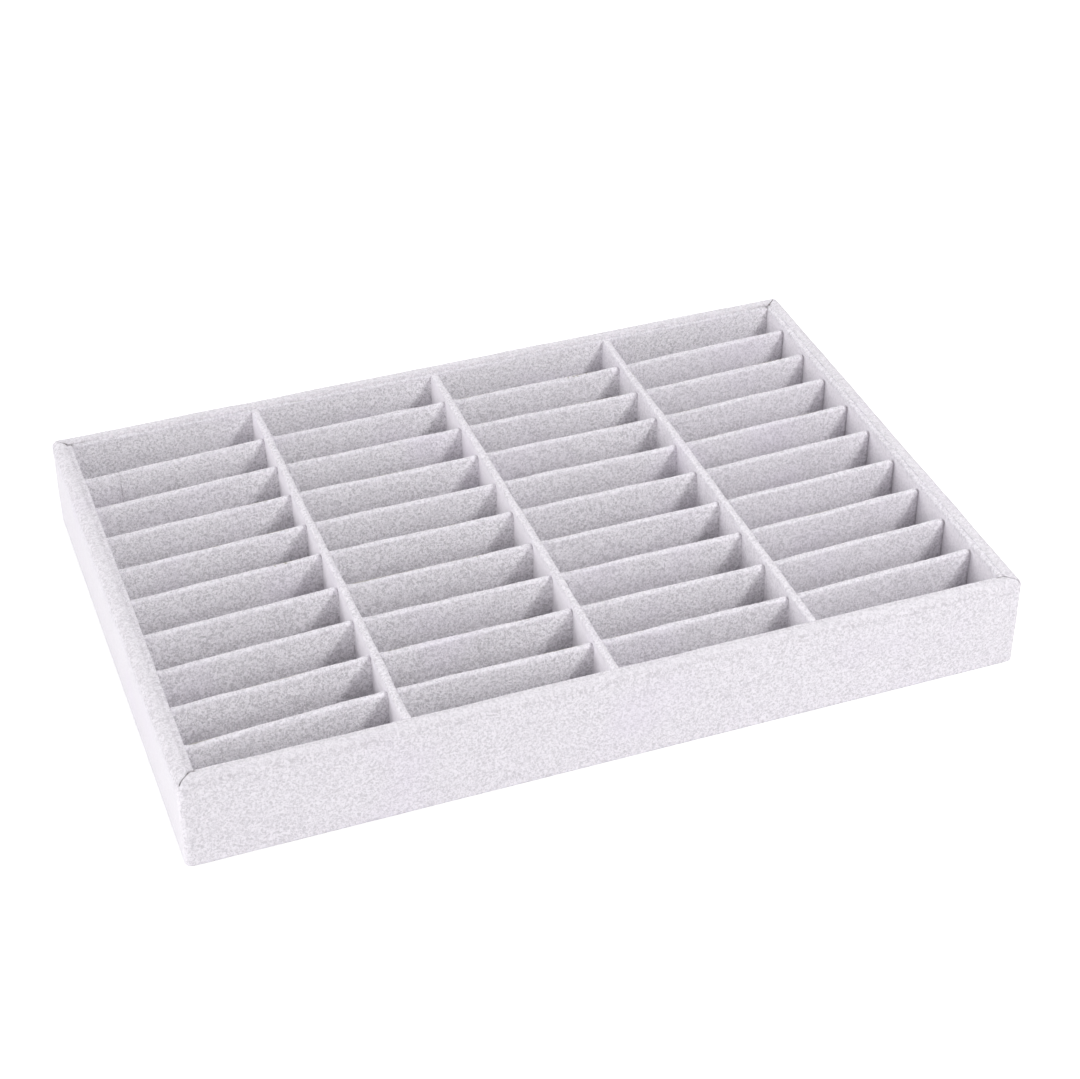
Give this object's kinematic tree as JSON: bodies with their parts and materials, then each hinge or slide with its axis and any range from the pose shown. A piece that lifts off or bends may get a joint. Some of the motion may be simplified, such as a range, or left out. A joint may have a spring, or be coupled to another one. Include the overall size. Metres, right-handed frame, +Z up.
{
  "type": "jewelry display tray",
  "caption": "Shallow velvet-covered display tray with a mitred rim, wall liners, and long and cross dividers that part it into rows of narrow open cells for small jewelry.",
  "frame": {"origin": "middle of the underside, on the surface that the tray stands on", "axes": "+X to the right along the longest side, +Y from the front wall to the back wall, +Z up out of the cells"},
  "size_m": [0.35, 0.24, 0.042],
  "materials": {
    "velvet": "light grey short-pile velvet, finely mottled",
    "frame_board": "raw fibreboard",
    "greyboard": "matt grey board",
    "underside_felt": "pressed grey felt"
  },
  "bodies": {
    "root": {"base_panel": "frame_board", "cross_divider_boards_column1": "greyboard", "cross_divider_boards_column2": "greyboard", "cross_divider_boards_column3": "greyboard", "cross_divider_boards_column4": "greyboard", "cross_divider_column1_row1": "velvet", "cross_divider_column1_row2": "velvet", "cross_divider_column1_row3": "velvet", "cross_divider_column1_row4": "velvet", "cross_divider_column1_row5": "velvet", "cross_divider_column1_row6": "velvet", "cross_divider_column1_row7": "velvet", "cross_divider_column1_row8": "velvet", "cross_divider_column1_row9": "velvet", "cross_divider_column2_row1": "velvet", "cross_divider_column2_row2": "velvet", "cross_divider_column2_row3": "velvet", "cross_divider_column2_row4": "velvet", "cross_divider_column2_row5": "velvet", "cross_divider_column2_row6": "velvet", "cross_divider_column2_row7": "velvet", "cross_divider_column2_row8": "velvet", "cross_divider_column2_row9": "velvet", "cross_divider_column3_row1": "velvet", "cross_divider_column3_row2": "velvet", "cross_divider_column3_row3": "velvet", "cross_divider_column3_row4": "velvet", "cross_divider_column3_row5": "velvet", "cross_divider_column3_row6": "velvet", "cross_divider_column3_row7": "velvet", "cross_divider_column3_row8": "velvet", "cross_divider_column3_row9": "velvet", "cross_divider_column4_row1": "velvet", "cross_divider_column4_row2": "velvet", "cross_divider_column4_row3": "velvet", "cross_divider_column4_row4": "velvet", "cross_divider_column4_row5": "velvet", "cross_divider_column4_row6": "velvet", "cross_divider_column4_row7": "velvet", "cross_divider_column4_row8": "velvet", "cross_divider_column4_row9": "velvet", "floor_card": "greyboard", "floor_velvet": "velvet", "frame_rail_back": "frame_board", "frame_rail_front": "frame_board", "frame_rail_left": "frame_board", "frame_rail_right": "frame_board", "liner_cards_front_back": "greyboard", "liner_cards_left_right": "greyboard", "long_divider_1": "velvet", "long_divider_2": "velvet", "long_divider_3": "velvet", "long_divider_boards": "greyboard", "outer_velvet_cover": "velvet", "underside_felt": "underside_felt", "wall_liner_back": "velvet", "wall_liner_front": "velvet", "wall_liner_left": "velvet", "wall_liner_right": "velvet"}
  },
  "joints": []
}
